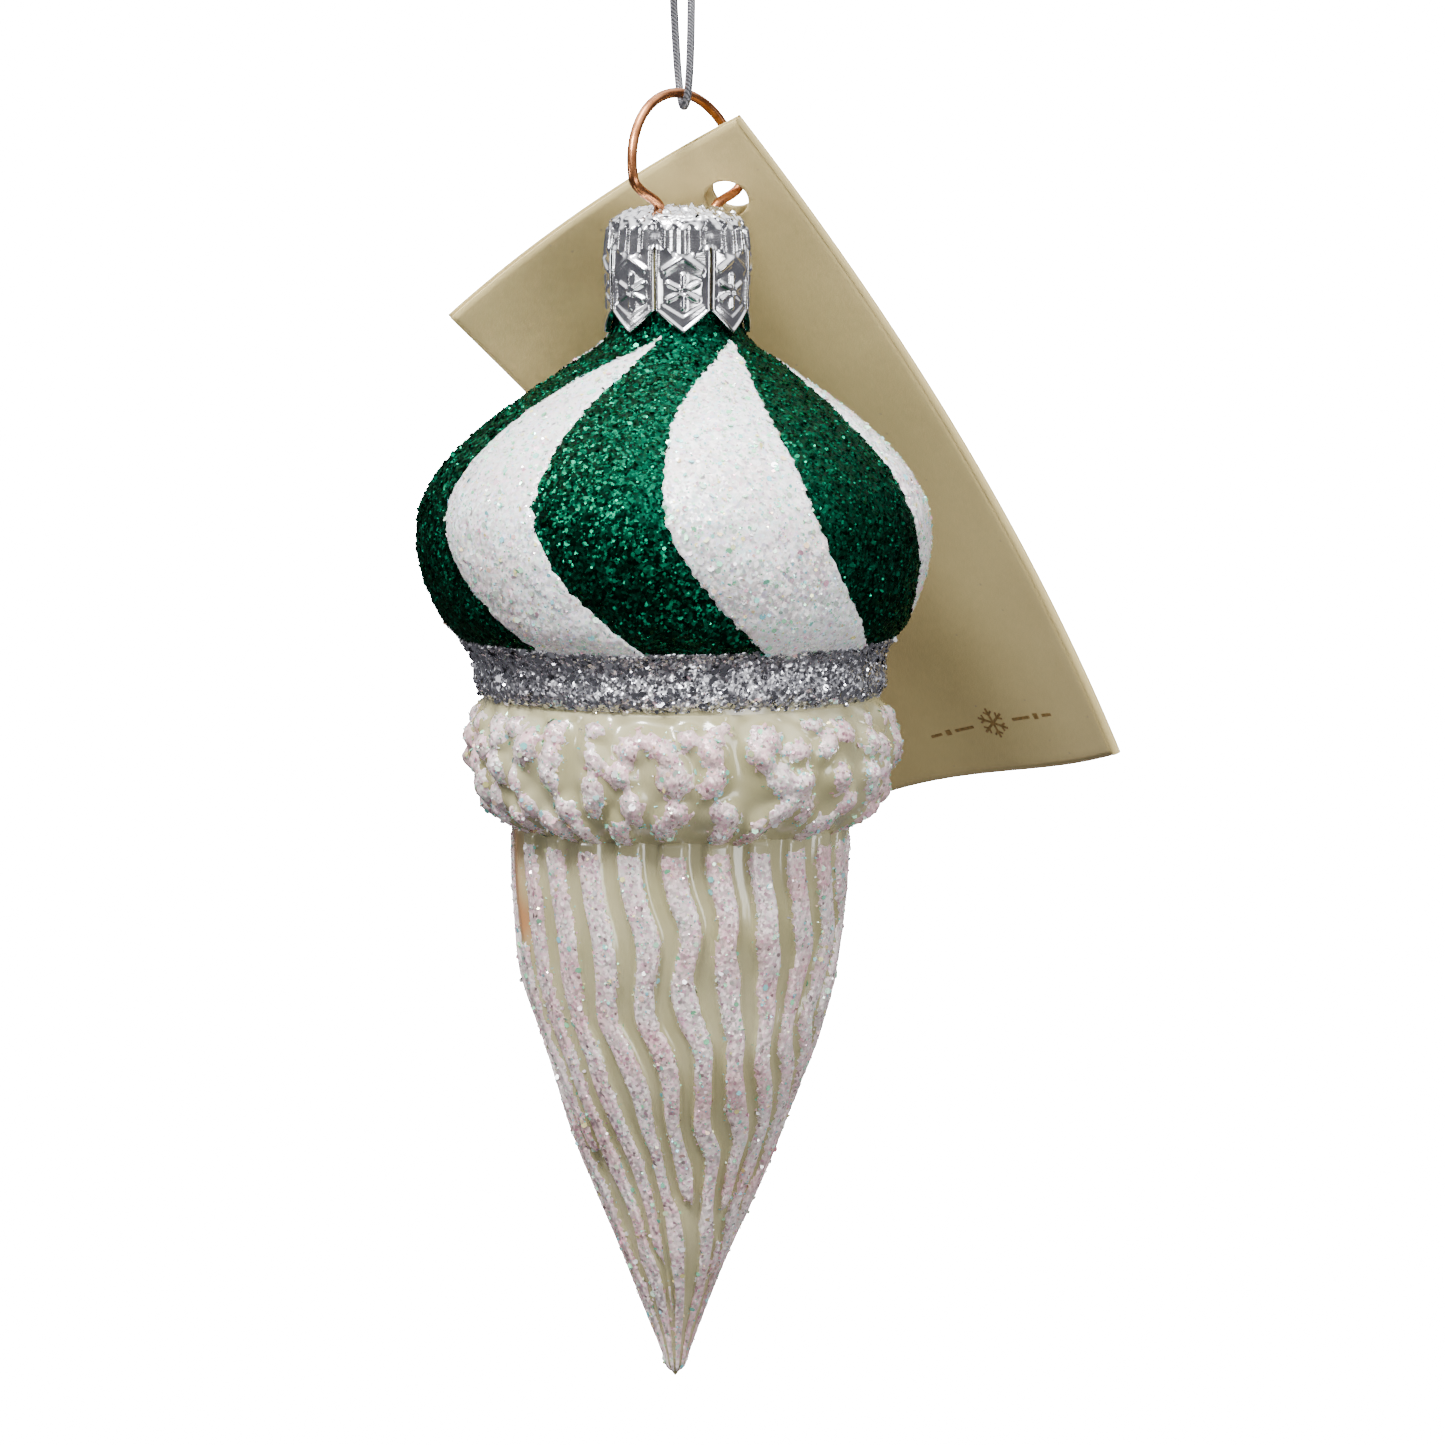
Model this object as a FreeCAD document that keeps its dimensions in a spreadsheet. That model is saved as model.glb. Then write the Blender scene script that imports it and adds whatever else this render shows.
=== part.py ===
"""Icicle hanging ornament: blown glass onion dome and icicle, crown cap, wire ring, tag and hanger.

Millimetres, +Z up. The origin is where a hook carries the hanger loop, and the ornament hangs
below it on the Z axis. The front is -Y and the tag hangs behind, on the +Y side.
"""
import FreeCAD, Part

import math
import os

from FreeCAD import Rotation, Vector

DIMENSIONS = [
    # Hanger cord
    ("hanger_drop", 19.0, "origin down to the wire's centre at the top of the ring"),
    ("cord_dia", 0.8, "hanger cord"),
    ("knot_radius", 1.3, ""),
    ("tail_length", 3.0, "cord end sticking out of the knot"),
    # Wire ring
    ("wire_dia", 1.0, "copper wire"),
    ("ring_radius", 8.2, "wire centre, round the loop"),
    ("ring_rise", 2.85, "ring centre above the top of the cap"),
    ("ring_turn", 50.0, "ring plane about Z, right side to the back, degrees"),
    ("ring_lean", 8.5, "top of the ring leaning back, degrees"),
    ("ring_offset", 1.0, "ring and its holes to the right of the axis"),
    ("leg_spacing", 4.2, "half the distance between the legs in the cap"),
    ("leg_spread", 5.0, "half the distance between the feet in the neck"),
    ("leg_depth", 13.0, "feet below the top of the cap"),
    # Crown cap
    ("cap_radius", 7.2, "outside of the skirt"),
    ("cap_wall", 0.25, "aluminium foil"),
    ("cap_height", 12.6, "top to the tips of the petals"),
    ("petal_count", 8, ""),
    ("petal_slit", 0.5, "gap between two petals"),
    ("petal_point", 2.2, "height of a petal's pointed end"),
    ("petal_turn", 5.0, "middle of the front petal from the front, degrees"),
    ("leg_hole_dia", 1.3, "holes for the wire"),
    # Glass
    ("glass_wall", 0.8, "blown glass, measured level"),
    ("neck_radius", 6.7, ""),
    ("neck_start", 2.6, "rim of the neck below the top of the cap"),
    ("neck_end", 13.1, "foot of the neck below the top of the cap"),
    ("dome_radius", 25.7, "widest, over the glitter"),
    ("dome_wide", 33.0, "widest place below the top of the cap"),
    ("dome_foot_radius", 21.0, "foot of the dome, over the glitter"),
    ("dome_foot", 43.4, "foot of the dome below the top of the cap"),
    ("band_radius", 20.5, "over the silver glitter"),
    ("band_foot", 48.2, "foot of the silver band"),
    ("ruffle_radius", 22.2, "widest, over the glitter"),
    ("ruffle_foot", 61.2, "foot of the ruffle"),
    ("icicle_radius", 17.2, "top of the icicle, over the ridges"),
    ("icicle_tip", 118.2, "tip below the top of the cap"),
    ("ridge_count", 24, ""),
    ("ridge_share", 0.6, "ridge width as a share of the pitch"),
    ("coat", 0.3, "thickness of a glitter coat, measured level"),
    ("coat_gap", 0.05, "air between a coat and the glass"),
    # Tag
    ("tag_width", 36.0, "from the fold to the free edge"),
    ("tag_length", 79.0, ""),
    ("leaf_thickness", 0.35, ""),
    ("leaf_gap", 0.3, "air between the two leaves"),
    ("fold_reach", 0.4, "the back cover's edge that turns round the fold"),
    ("tag_hole_dia", 4.4, ""),
    ("cover_slip", 1.2, "the front cover's hole nearer the fold than the back cover's"),
    ("tag_hole_in", 6.1, "hole centre from the fold"),
    ("tag_hole_down", 7.1, "hole centre from the top edge"),
    ("tag_hole_x", 4.85, "hole centre"),
    ("tag_hole_y", 5.95, "hole centre"),
    ("tag_hole_rise", 0.5, "hole centre above the top of the cap"),
    ("tag_yaw", -8.9, "card about Z, degrees"),
    ("tag_pitch", 33.3, "foot of the card to the back, degrees"),
    ("tag_roll", -30.6, "card in its own plane, degrees"),
    ("tag_curl_radius", 53.9, "the card's soft curl round the ornament"),
    ("tag_curl_turn", 239.6, "line of the curl from the width direction, degrees"),
]


def make_sheet(document):
    """The driving dimensions, one named cell each."""
    table = document.addObject("Spreadsheet::Sheet", "Dimensions")
    for row, (name, value, note) in enumerate(DIMENSIONS, start=1):
        table.set(f"A{row}", name)
        table.set(f"B{row}", str(value))
        table.set(f"C{row}", note)
        table.setAlias(f"B{row}", name)
    document.recompute()
    return table


doc = FreeCAD.newDocument("icicle_ornament")
sheet = make_sheet(doc)
nodes = []


def size(name):
    """One driving dimension."""
    return float(sheet.get(name))


def add_shape(label, shape):
    """A sub-part whose shape is made in code."""
    part = doc.addObject("Part::Feature", label)
    part.Label = label
    part.Shape = shape
    nodes.append(part)


# ---------------------------------------------------------------- places

RING_ANGLE = math.radians(size("ring_turn"))
LEAN = math.radians(size("ring_lean"))
ALONG = Vector(math.cos(RING_ANGLE), math.sin(RING_ANGLE), 0)
ACROSS = Vector(-math.sin(RING_ANGLE), math.cos(RING_ANGLE), 0)
RING_UP = Vector(0, 0, 1) * math.cos(LEAN) + ACROSS * math.sin(LEAN)
RING_TOP_ABOVE_CAP = size("ring_rise") + size("ring_radius") * math.cos(LEAN)
CAP_TOP = -(size("hanger_drop") + RING_TOP_ABOVE_CAP)
RING_CENTRE = Vector(size("ring_offset"), 0, CAP_TOP + size("ring_rise"))


CORD_ANGLE = 84


def on_ring(degrees):
    """A point on the ring's wire centre: 0 is its right side, 90 its top."""
    angle = math.radians(degrees)
    radius = size("ring_radius")
    return RING_CENTRE + ALONG * (radius * math.cos(angle)) + RING_UP * (radius * math.sin(angle))


# ---------------------------------------------------------------- tubes

def rounded_route(points, radii):
    """A wire of straight runs joined by tangent arcs, one radius for each inner point."""
    edges = []
    start = points[0]
    for before, corner, after, radius in zip(points, points[1:], points[2:], radii):
        to_before = (before - corner).normalize()
        to_after = (after - corner).normalize()
        half = to_before.getAngle(to_after) / 2
        reach = radius / math.tan(half)
        first = corner + to_before * reach
        last = corner + to_after * reach
        middle_way = (to_before + to_after).normalize()
        middle = corner + middle_way * (radius / math.sin(half) - radius)
        edges.append(Part.LineSegment(start, first).toShape())
        edges.append(Part.Arc(first, middle, last).toShape())
        start = last
    edges.append(Part.LineSegment(start, points[-1]).toShape())
    return Part.Wire(edges)


def tube(route, diameter):
    """A round rod along a route, with its volume compared with section times length."""
    start = route.Edges[0].valueAt(route.Edges[0].FirstParameter)
    direction = route.Edges[0].tangentAt(route.Edges[0].FirstParameter)
    circle = Part.Wire([Part.makeCircle(diameter / 2, start, direction)])
    rod = route.makePipeShell([circle], True, False)
    expected = math.pi * diameter ** 2 / 4 * route.Length
    if abs(rod.Volume / expected - 1) > 0.02:
        raise RuntimeError(f"the tube's volume is {rod.Volume:.3f} and not {expected:.3f}")
    return rod


# ---------------------------------------------------------------- hanger

def hanger_route():
    """The cord's route: from the knot, under the wire, over the hook and back to the knot."""
    under = on_ring(CORD_ANGLE)
    low = under.z - 1.2
    reach = 1.9
    return [
        Vector(-0.48, 0.93, -7.0),
        Vector(under.x, under.y + reach, low),
        Vector(under.x + 0.05, under.y - reach, low),
        Vector(1.5, -1.1, 0.4),
        Vector(-0.9, 1.1, 0.4),
        Vector(-0.62, 0.98, -4.2),
    ]


def make_hanger():
    """The cord loop round the wire, and the knot that closes it."""
    points = hanger_route()
    radii = []
    for before, corner, after in zip(points, points[1:], points[2:]):
        shorter = min((before - corner).Length, (after - corner).Length)
        half_turn = (math.pi - (before - corner).getAngle(after - corner)) / 2
        radii.append(0.45 * shorter / math.tan(half_turn))
    print("hanger route:", [tuple(round(c, 3) for c in point) for point in points])
    print("hanger bend radii:", [round(radius, 2) for radius in radii])
    route = rounded_route(points, radii)
    print("hanger cord length:", round(route.Length, 2))
    add_shape("hanger_cord", tube(route, size("cord_dia")))

    knot_centre = (points[0] + points[-1]) * 0.5
    lump = Part.makeSphere(size("knot_radius"))
    stretch = FreeCAD.Matrix()
    stretch.scale(1.0, 1.0, 1.25)
    lump = lump.transformGeometry(stretch)
    lump.translate(knot_centre)
    tail_way = Vector(-0.9, 0.35, -0.3)
    tail = Part.makeCylinder(size("cord_dia") / 2, size("tail_length"), knot_centre, tail_way)
    add_shape("hanger_knot", lump.fuse(tail).removeSplitter())


# ---------------------------------------------------------------- wire ring

def make_wire_ring():
    """A loop of wire whose two legs go through the cap and spring apart in the neck."""
    middle = Vector(size("ring_offset"), 0, CAP_TOP)
    above_hole = Vector(0, 0, 0.25)
    below_hole = Vector(0, 0, -8.0)
    shoulder_run = 1.2
    arc = Part.Arc(on_ring(0), on_ring(90), on_ring(180)).toShape()
    edges = [arc]
    for side, shoulder in ((1, on_ring(0)), (-1, on_ring(180))):
        hole = middle + ALONG * (side * size("leg_spacing"))
        foot = Vector(0, 0, CAP_TOP - size("leg_depth")) + ALONG * (side * size("leg_spread"))
        leg = [shoulder, shoulder - RING_UP * shoulder_run, hole + above_hole, hole + below_hole, foot]
        edges.extend(rounded_route(leg, [1.5, 1.0, 4.0]).Edges)
    route = Part.Wire(Part.__sortEdges__(edges))
    add_shape("wire_ring", tube(route, size("wire_dia")))


# ---------------------------------------------------------------- crown cap

def origin_part(body, role):
    """One of a body's own origin planes or axes."""
    for feature in body.Origin.OriginFeatures:
        if feature.Role == role:
            return feature
    raise LookupError(role)


def new_sketch(body, role, name):
    """An empty sketch on one of the body's origin planes."""
    sketch = body.newObject("Sketcher::SketchObject", name)
    sketch.AttachmentSupport = [(origin_part(body, role), "")]
    sketch.MapMode = "FlatFace"
    return sketch


def closed_outline(sketch, points):
    """Straight sides through the points, closed."""
    for start, end in zip(points, points[1:] + points[:1]):
        sketch.addGeometry(Part.LineSegment(Vector(*start, 0), Vector(*end, 0)), False)


def make_crown_cap():
    """Foil cap: a shallow domed top, a skirt cut into pointed petals, and two holes for the wire."""
    body = doc.addObject("PartDesign::Body", "crown_cap")
    body.Label = "crown_cap"
    radius = size("cap_radius")
    wall = size("cap_wall")
    height = size("cap_height")
    point = size("petal_point")

    shell = new_sketch(body, "XZ_Plane", "shell_outline")
    edge = radius - 0.35
    outside = [(0, 0), (3.6, -0.2), (5.6, -0.8), (edge, -1.8), (radius, -2.8), (radius, -height)]
    inside = [
        (radius - wall, -height),
        (radius - wall, -2.9),
        (edge - wall, -2.0),
        (5.5, -0.8 - wall),
        (3.55, -0.2 - wall),
        (0, -wall),
    ]
    closed_outline(shell, outside + inside)
    revolution = body.newObject("PartDesign::Revolution", "shell")
    revolution.Profile = shell
    revolution.ReferenceAxis = (shell, ["V_Axis"])
    revolution.Angle = 360
    doc.recompute()
    before = revolution.Shape.Volume

    pitch = 2 * math.pi * radius / size("petal_count")
    slit = size("petal_slit") / 2
    gap = new_sketch(body, "XZ_Plane", "gap_outline")
    closed_outline(
        gap,
        [
            (-slit, -4.2),
            (slit, -4.2),
            (slit, -height + point),
            (pitch / 2, -height - 0.5),
            (-pitch / 2, -height - 0.5),
            (-slit, -height + point),
        ],
    )
    pocket = body.newObject("PartDesign::Pocket", "petal_gap")
    pocket.Profile = gap
    pocket.Type = 0
    pocket.setExpression("Length", "Dimensions.cap_radius + 2")
    doc.recompute()
    if pocket.Shape.Volume >= before - 0.1:
        pocket.Reversed = True
        doc.recompute()
    if pocket.Shape.Volume >= before - 0.1:
        raise RuntimeError("the gap between the petals cuts nothing")

    pattern = body.newObject("PartDesign::PolarPattern", "petal_gaps")
    pattern.Originals = [pocket]
    pattern.Axis = (origin_part(body, "Z_Axis"), [""])
    pattern.Angle = 360
    pattern.setExpression("Occurrences", "Dimensions.petal_count")
    body.Tip = pattern
    doc.recompute()
    before = pattern.Shape.Volume

    holes = new_sketch(body, "XY_Plane", "leg_holes_outline")
    turned_back = Rotation(Vector(0, 0, 1), -cap_turn())
    for side in (1, -1):
        place = Vector(size("ring_offset"), 0, 0) + ALONG * (side * size("leg_spacing"))
        circle = Part.Circle(turned_back.multVec(place), Vector(0, 0, 1), size("leg_hole_dia") / 2)
        holes.addGeometry(circle, False)
    drilled = body.newObject("PartDesign::Pocket", "leg_holes")
    drilled.Profile = holes
    drilled.Type = 0
    drilled.Midplane = True
    drilled.Length = 8
    body.Tip = drilled
    doc.recompute()
    if drilled.Shape.Volume >= before - 0.05:
        raise RuntimeError("the holes for the wire cut nothing")

    body.Placement = FreeCAD.Placement(Vector(0, 0, CAP_TOP), Rotation(Vector(0, 0, 1), cap_turn()))
    nodes.append(body)


def cap_turn():
    """Turn of the cap about Z that puts the middle of a petal at petal_turn from the front."""
    return size("petal_turn") + 180 / size("petal_count")


# ---------------------------------------------------------------- glass

def smooth(points):
    """A smooth curve through (radius, depth below the cap's top) points."""
    curve = Part.BSplineCurve()
    curve.interpolate([Vector(radius, 0, CAP_TOP - depth) for radius, depth in points])
    return curve.toShape()


def straight(first, last):
    """A straight edge between two (radius, depth) points."""
    start = Vector(first[0], 0, CAP_TOP - first[1])
    end = Vector(last[0], 0, CAP_TOP - last[1])
    return Part.LineSegment(start, end).toShape()


def dome_points(inset):
    """The onion dome's outline, moved in by inset."""
    wide = size("dome_radius")
    outline = [
        (size("neck_radius") + 0.5, size("neck_end")),
        (11.4, 16.1),
        (18.2, 20.9),
        (23.0, 25.5),
        (wide - 0.5, 29.3),
        (wide, size("dome_wide")),
        (wide - 0.9, 37.8),
        (22.9, 41.7),
        (size("dome_foot_radius"), size("dome_foot")),
    ]
    return [(radius - inset, depth) for radius, depth in outline]


def ruffle_points(inset):
    """The rolled ruffle's outline, moved in by inset."""
    wide = size("ruffle_radius")
    outline = [
        (size("band_radius"), size("band_foot")),
        (wide - 0.3, 51.0),
        (wide, 54.0),
        (wide - 1.0, 57.3),
        (18.8, 60.2),
        (size("icicle_radius"), size("ruffle_foot")),
    ]
    return [(radius - inset, depth) for radius, depth in outline]


def icicle_points(inset):
    """The icicle's outline down to just above its tip, moved in by inset."""
    outline = [
        (size("icicle_radius"), size("ruffle_foot")),
        (16.7, 71.0),
        (14.2, 83.0),
        (11.0, 91.9),
        (7.6, 101.1),
        (3.5, 110.3),
        (1.6, size("icicle_tip") - 2.4),
    ]
    return [(max(radius - inset, 0.5), depth) for radius, depth in outline]


def revolved(edges, degrees=360.0):
    """A solid of revolution about Z from a closed outline."""
    face = Part.Face(Part.Wire(Part.__sortEdges__(edges)))
    return face.revolve(Vector(0, 0, 0), Vector(0, 0, 1), degrees)


def make_glass_body():
    """One hollow blown piece: neck, onion dome, band, ruffle and icicle."""
    coat = size("coat") + size("coat_gap")
    neck = size("neck_radius")
    rim = (neck, size("neck_start"))
    neck_foot = (neck, size("neck_end") - 1.0)
    dome = dome_points(coat)
    band = [(size("band_radius") - coat, size("dome_foot")), (size("band_radius") - coat, size("band_foot"))]
    ruffle = ruffle_points(coat)
    icicle = icicle_points(coat)
    tip = (0, size("icicle_tip"))
    wall = size("glass_wall")
    inner_dome = dome_points(coat + wall)
    inner_band = [(radius - wall, depth) for radius, depth in band]
    inner_ruffle = ruffle_points(coat + wall)
    inner_icicle = icicle_points(coat + wall)[:-1]
    inner_tip = (0, inner_icicle[-1][1])
    inner_rim = (neck - wall, rim[1])
    inner_neck_foot = (neck - wall, neck_foot[1])
    edges = [
        straight(rim, neck_foot),
        straight(neck_foot, dome[0]),
        smooth(dome),
        straight(dome[-1], band[0]),
        straight(*band),
        smooth(ruffle),
        smooth(icicle),
        straight(icicle[-1], tip),
        straight(tip, inner_tip),
        straight(inner_tip, inner_icicle[-1]),
        smooth(inner_icicle),
        smooth(inner_ruffle),
        straight(*inner_band),
        straight(inner_band[0], inner_dome[-1]),
        smooth(inner_dome),
        straight(inner_dome[0], inner_neck_foot),
        straight(inner_neck_foot, inner_rim),
        straight(inner_rim, rim),
    ]
    add_shape("glass_body", revolved(edges))


# ---------------------------------------------------------------- glitter coats

# Middle line and width of each white stripe at the widest place, in degrees from the front one
WHITE_STRIPES = [(0, 35), (71, 34), (146, 37), (222, 36), (297, 30)]


def swirl(depth):
    """Angle of the front white stripe's middle line from the front, towards +X, in degrees."""
    turning = 26.2
    if depth > turning:
        return 15.5 + 0.0926 * (depth - turning) ** 2
    return 15.5 + 0.00113 * min(turning - depth, 13.2) ** 4


def white_share(depth):
    """How much of its width a white stripe has: it narrows to a point at the neck."""
    return max(1 - math.exp(-(depth - 12.9) / 2.6), 0.1)


def white_edge(number, side, depth):
    """Angle of a white stripe's edge; side is -1 or 1."""
    place, width = WHITE_STRIPES[number % len(WHITE_STRIPES)]
    turns = number // len(WHITE_STRIPES)
    return 360 * turns + place + swirl(depth) + side * white_share(depth) * width / 2


def stripe_wedge(depths, first, last):
    """A twisted wedge about Z between the first and the last edge, each an (angle from depth) function."""
    seam = 0.15
    far = size("dome_radius") * 1.4
    sections = []
    for depth in depths:
        corners = [Vector(0, 0, CAP_TOP - depth)]
        for edge in (first(depth) + seam, last(depth) - seam):
            angle = math.radians(edge)
            corners.append(Vector(far * math.sin(angle), -far * math.cos(angle), CAP_TOP - depth))
        sections.append(Part.makePolygon(corners + corners[:1]))
    return Part.makeLoft(sections, True, True)


def make_stripes():
    """Spiral stripes of glitter on the dome, white and green in turn."""
    coat = size("coat")
    outer = dome_points(0)
    inner = dome_points(coat)
    skin = revolved(
        [smooth(outer), smooth(inner), straight(outer[0], inner[0]), straight(outer[-1], inner[-1])]
    )
    top = size("neck_end") - 0.3
    foot = size("dome_foot") + 0.3
    steps = 24
    depths = [top + (foot - top) * step / steps for step in range(steps + 1)]
    white = []
    green = []
    for number in range(len(WHITE_STRIPES)):
        left = lambda depth: white_edge(number, -1, depth)
        right = lambda depth: white_edge(number, 1, depth)
        after = lambda depth: white_edge(number + 1, -1, depth)
        white.append(skin.common(stripe_wedge(depths, left, right)))
        green.append(skin.common(stripe_wedge(depths, right, after)))
    add_shape("white_glitter_stripes", Part.makeCompound(white))
    add_shape("green_glitter_stripes", Part.makeCompound(green))


def make_band():
    """The silver glitter band under the dome."""
    outside = size("band_radius")
    inside = outside - size("coat")
    top, foot = size("dome_foot"), size("band_foot")
    edges = [
        straight((outside, top), (outside, foot)),
        straight((outside, foot), (inside, foot)),
        straight((inside, foot), (inside, top)),
        straight((inside, top), (outside, top)),
    ]
    add_shape("silver_glitter_band", revolved(edges))


def make_ruffle_coat():
    """The glitter on the ruffle."""
    outer = ruffle_points(0)
    inner = ruffle_points(size("coat"))
    edges = [smooth(outer), smooth(inner), straight(outer[0], inner[0]), straight(outer[-1], inner[-1])]
    add_shape("ruffle_glitter", revolved(edges))


def make_ridge_coat():
    """The glitter on the icicle's ridges, one strip for each ridge."""
    outer = icicle_points(0)
    inner = icicle_points(size("coat"))
    edges = [smooth(outer), smooth(inner), straight(outer[0], inner[0]), straight(outer[-1], inner[-1])]
    count = int(size("ridge_count"))
    strip = revolved(edges, 360 / count * size("ridge_share"))
    strips = []
    for number in range(count):
        turned = strip.copy()
        turned.rotate(Vector(0, 0, 0), Vector(0, 0, 1), 360 / count * number)
        strips.append(turned)
    add_shape("ridge_glitter", Part.makeCompound(strips))


# ---------------------------------------------------------------- tag

TAG_HOLE = Vector(size("tag_hole_x"), size("tag_hole_y"), CAP_TOP + size("tag_hole_rise"))
TAG_TURN = (
    Rotation(Vector(0, 0, 1), size("tag_yaw"))
    * Rotation(Vector(1, 0, 0), size("tag_pitch"))
    * Rotation(Vector(0, 1, 0), size("tag_roll"))
)


def card_point(inward, down, depth):
    """A point of the curled card: in from the fold, down from the top edge, depth behind its face."""
    curl = size("tag_curl_radius")
    line = math.radians(size("tag_curl_turn"))
    width = inward - size("tag_hole_in")
    length = down - size("tag_hole_down")
    along = math.cos(line) * width + math.sin(line) * length
    turn = (math.cos(line) * length - math.sin(line) * width) / curl
    over = (curl + depth) * math.sin(turn)
    forward = curl - (curl + depth) * math.cos(turn)
    flat = Vector(
        -(math.cos(line) * along - math.sin(line) * over),
        -forward,
        -(math.sin(line) * along + math.cos(line) * over),
    )
    return TAG_HOLE + TAG_TURN.multVec(flat)


def curled_face(first_inward, depth):
    """One face of a leaf, as a smooth surface."""
    across, lengthwise = 7, 13
    grid = []
    for step in range(across):
        inward = first_inward + (size("tag_width") - first_inward) * step / (across - 1)
        rows = [size("tag_length") * row / (lengthwise - 1) for row in range(lengthwise)]
        grid.append([card_point(inward, down, depth) for down in rows])
    surface = Part.BSplineSurface()
    surface.interpolate(grid)
    return surface


def make_leaf(label, first_inward, front, hole_inward, hole_down):
    """One leaf of the card with its punched hole; front is how far its face lies behind the card's."""
    faces = [curled_face(first_inward, front), curled_face(first_inward, front + size("leaf_thickness"))]
    sides = []
    for direction in ("uIso", "vIso"):
        for end in (0, 1):
            pair = []
            for surface in faces:
                bounds = surface.bounds()
                low, high = bounds[:2] if direction == "uIso" else bounds[2:]
                pair.append(getattr(surface, direction)((low, high)[end]).toShape())
            sides.append(Part.makeRuledSurface(*pair))
    shell = Part.makeShell([surface.toShape() for surface in faces] + sides)
    shell.sewShape()
    leaf = Part.makeSolid(shell)
    if leaf.Volume < 0:
        leaf.reverse()
    middle = card_point(hole_inward, hole_down, front)
    through = card_point(hole_inward, hole_down, front + 1) - middle
    punch = Part.makeCylinder(size("tag_hole_dia") / 2, 6, middle - through * 3, through)
    punched = leaf.cut(punch)
    expected = math.pi * size("tag_hole_dia") ** 2 / 4 * size("leaf_thickness")
    taken = leaf.Volume - punched.Volume
    if abs(taken - expected) > 0.2:
        raise RuntimeError(f"{label}: the hole takes {taken:.2f} and not {expected:.2f}")
    add_shape(label, punched)


def make_tag():
    """A folded card: the back cover towards the ornament, then the front cover behind it."""
    inward, down = size("tag_hole_in"), size("tag_hole_down")
    make_leaf("tag_back_cover", -size("fold_reach"), 0.0, inward, down)
    behind = size("leaf_thickness") + size("leaf_gap")
    slip = size("cover_slip")
    make_leaf("tag_front_cover", 0.15, behind, inward - slip, down - slip / 3)
    fold_top = card_point(0, 0, behind)
    fold_way = (card_point(0, size("tag_length"), behind) - fold_top).normalize()
    print("fold line:", tuple(round(c, 3) for c in fold_top), tuple(round(c, 4) for c in fold_way))


make_hanger()
make_wire_ring()
make_crown_cap()
make_glass_body()
make_stripes()
make_band()
make_ruffle_coat()
make_ridge_coat()
make_tag()

doc.recompute()
for item in doc.Objects:
    if "Invalid" in item.State or "Error" in item.State:
        raise RuntimeError(f"{item.Label} failed: {item.State}")
os.makedirs("parts", exist_ok=True)
for node in nodes:
    if node.Shape.isNull() or not node.Shape.isValid() or not node.Shape.Solids:
        raise RuntimeError(f"{node.Label} has no valid shape")
    node.Shape.exportStep(f"parts/{node.Label}.step")
    box = node.Shape.BoundBox
    print(
        f"{node.Label}: {len(node.Shape.Solids)} solids, {node.Shape.Volume:.1f} mm3, "
        f"x {box.XMin:.1f} {box.XMax:.1f}  y {box.YMin:.1f} {box.YMax:.1f}  z {box.ZMin:.1f} {box.ZMax:.1f}"
    )
print("cap top:", round(CAP_TOP, 3))
print("cord under the wire at:", tuple(round(c, 3) for c in on_ring(CORD_ANGLE)))
print("ring plane along:", tuple(round(c, 4) for c in ALONG))
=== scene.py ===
"""Icicle hanging ornament: the looks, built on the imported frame.

Lengths are in millimetres until they are handed to Blender, which works in metres. "Depth" is how far
below the top of the crown cap something is, and angles round the ornament are counted in degrees from
the front (-Y) towards the right (+X).
"""
import math

import bpy
import numpy as np
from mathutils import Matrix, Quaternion, Vector


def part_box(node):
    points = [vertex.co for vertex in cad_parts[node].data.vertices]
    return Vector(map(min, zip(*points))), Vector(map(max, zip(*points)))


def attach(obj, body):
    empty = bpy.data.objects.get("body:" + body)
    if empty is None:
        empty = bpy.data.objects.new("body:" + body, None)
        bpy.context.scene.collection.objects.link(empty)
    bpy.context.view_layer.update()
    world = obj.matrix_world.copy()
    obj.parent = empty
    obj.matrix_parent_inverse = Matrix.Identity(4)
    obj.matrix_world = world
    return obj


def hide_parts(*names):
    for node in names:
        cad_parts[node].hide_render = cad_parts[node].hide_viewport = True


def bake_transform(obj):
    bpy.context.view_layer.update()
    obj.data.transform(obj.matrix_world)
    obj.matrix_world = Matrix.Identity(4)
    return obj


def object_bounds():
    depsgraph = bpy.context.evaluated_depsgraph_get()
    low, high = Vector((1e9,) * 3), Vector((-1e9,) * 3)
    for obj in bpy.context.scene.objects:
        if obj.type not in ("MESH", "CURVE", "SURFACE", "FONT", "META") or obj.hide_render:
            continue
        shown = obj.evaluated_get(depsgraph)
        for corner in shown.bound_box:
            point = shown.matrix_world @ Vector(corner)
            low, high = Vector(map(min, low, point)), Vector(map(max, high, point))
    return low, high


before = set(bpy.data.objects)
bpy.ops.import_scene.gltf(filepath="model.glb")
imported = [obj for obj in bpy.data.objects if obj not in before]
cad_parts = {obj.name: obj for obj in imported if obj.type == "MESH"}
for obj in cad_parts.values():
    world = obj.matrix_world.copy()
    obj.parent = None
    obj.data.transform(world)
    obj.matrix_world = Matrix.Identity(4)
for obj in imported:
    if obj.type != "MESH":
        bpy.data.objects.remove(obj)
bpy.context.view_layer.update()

MM = 0.001
CAP_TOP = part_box("crown_cap")[1].z / MM


# ---------------------------------------------------------------- camera, floor and light

def make_camera():
    """A camera level with the cap, looking a little down at the middle of the ornament."""
    eye = Vector((4.45, -430.0, CAP_TOP - 4.2))
    looks_down = 6.27
    camera = bpy.data.cameras.new("camera")
    camera.angle = math.radians(18.97)
    holder = bpy.data.objects.new("camera", camera)
    holder.location = eye * MM
    holder.rotation_euler = (math.radians(90 - looks_down), 0, 0)
    bpy.context.scene.collection.objects.link(holder)
    bpy.context.scene.camera = holder


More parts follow.
